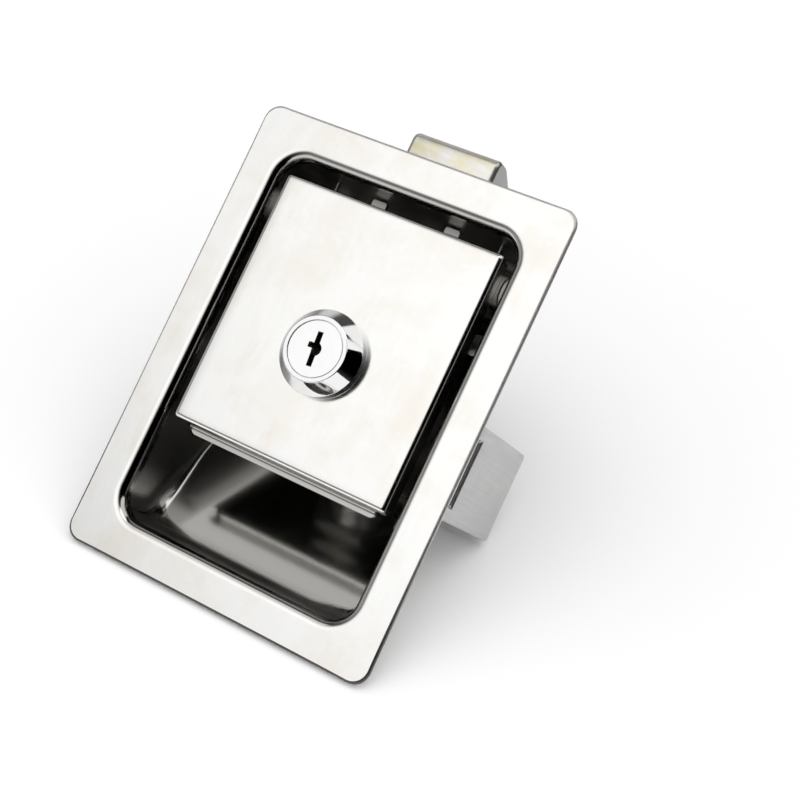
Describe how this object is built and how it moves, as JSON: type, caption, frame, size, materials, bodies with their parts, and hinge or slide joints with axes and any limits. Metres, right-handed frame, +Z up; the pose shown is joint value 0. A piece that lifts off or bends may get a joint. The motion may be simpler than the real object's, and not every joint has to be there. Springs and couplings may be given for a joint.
{
  "type": "cabinet panel lock",
  "caption": "Recessed paddle lock for a cabinet panel: pressed face plate and pan, hinged paddle with a key cylinder, sprung bolt and a rear clamp strap.",
  "frame": {"origin": "centre of the face plate's back, which lies on the panel", "axes": "+X across the face plate to the right as seen from the front, +Y into the panel, +Z up towards the bolt"},
  "size_m": [0.086, 0.0572, 0.1268],
  "materials": {
    "stainless": "satin pressed stainless sheet, bright on the bends",
    "chrome": "bright chrome plate",
    "zinc_plate": "zinc plate with faint streaks and yellowish stains",
    "spring_steel": "drawn spring wire and strip",
    "brass": "stamped sheet",
    "nylon": "matt moulded"
  },
  "bodies": {
    "pan_body": {"face_pan": "stainless", "hinge_pin": "zinc_plate", "hinge_pin_clip": "spring_steel", "hinge_spacers": "nylon", "paddle_spring_left": "spring_steel", "paddle_spring_right": "spring_steel", "bolt_housing": "zinc_plate", "housing_rivets": "stainless", "spring_rods": "zinc_plate", "bolt_spring_left": "spring_steel", "bolt_spring_right": "spring_steel", "clamp_strap": "zinc_plate", "clamp_studs": "zinc_plate", "clamp_washers": "zinc_plate", "clamp_nuts": "zinc_plate"},
    "paddle_body": {"paddle": "stainless", "cylinder_body": "chrome", "cylinder_washer": "zinc_plate", "cylinder_nut": "zinc_plate"},
    "plug_body": {"cylinder_plug": "chrome", "wafer_tumblers": "brass", "tumbler_springs": "spring_steel", "lock_cam": "zinc_plate", "cam_spring_washer": "spring_steel", "cam_screw": "zinc_plate"},
    "bolt_body": {"latch_bolt": "zinc_plate"}
  },
  "joints": [
    {"name": "paddle_hinge", "type": "hinge", "parent": "pan_body", "child": "paddle_body", "pos_m": [0, 0.009, 0.037], "axis": [-1, 0, 0], "range_deg": [0, 22], "stiffness_Nm_per_rad": 0.12, "springref_deg": -28.65, "deforming": ["paddle_spring_left", "paddle_spring_right"]},
    {"name": "plug_turn", "type": "hinge", "parent": "paddle_body", "child": "plug_body", "pos_m": [0, 0, 0.00616], "axis": [0, 1, 0], "range_deg": [0, 90]},
    {"name": "bolt_slide", "type": "slide", "parent": "pan_body", "child": "bolt_body", "axis": [0, 0, -1], "range_m": [0, 0.0075], "stiffness_N_per_m": 500, "springref_m": -0.006, "deforming": ["bolt_spring_left", "bolt_spring_right"]}
  ],
  "couplings": [
    {"joint": "bolt_slide", "follows": "paddle_hinge", "m_per_rad": 0.019533}
  ]
}
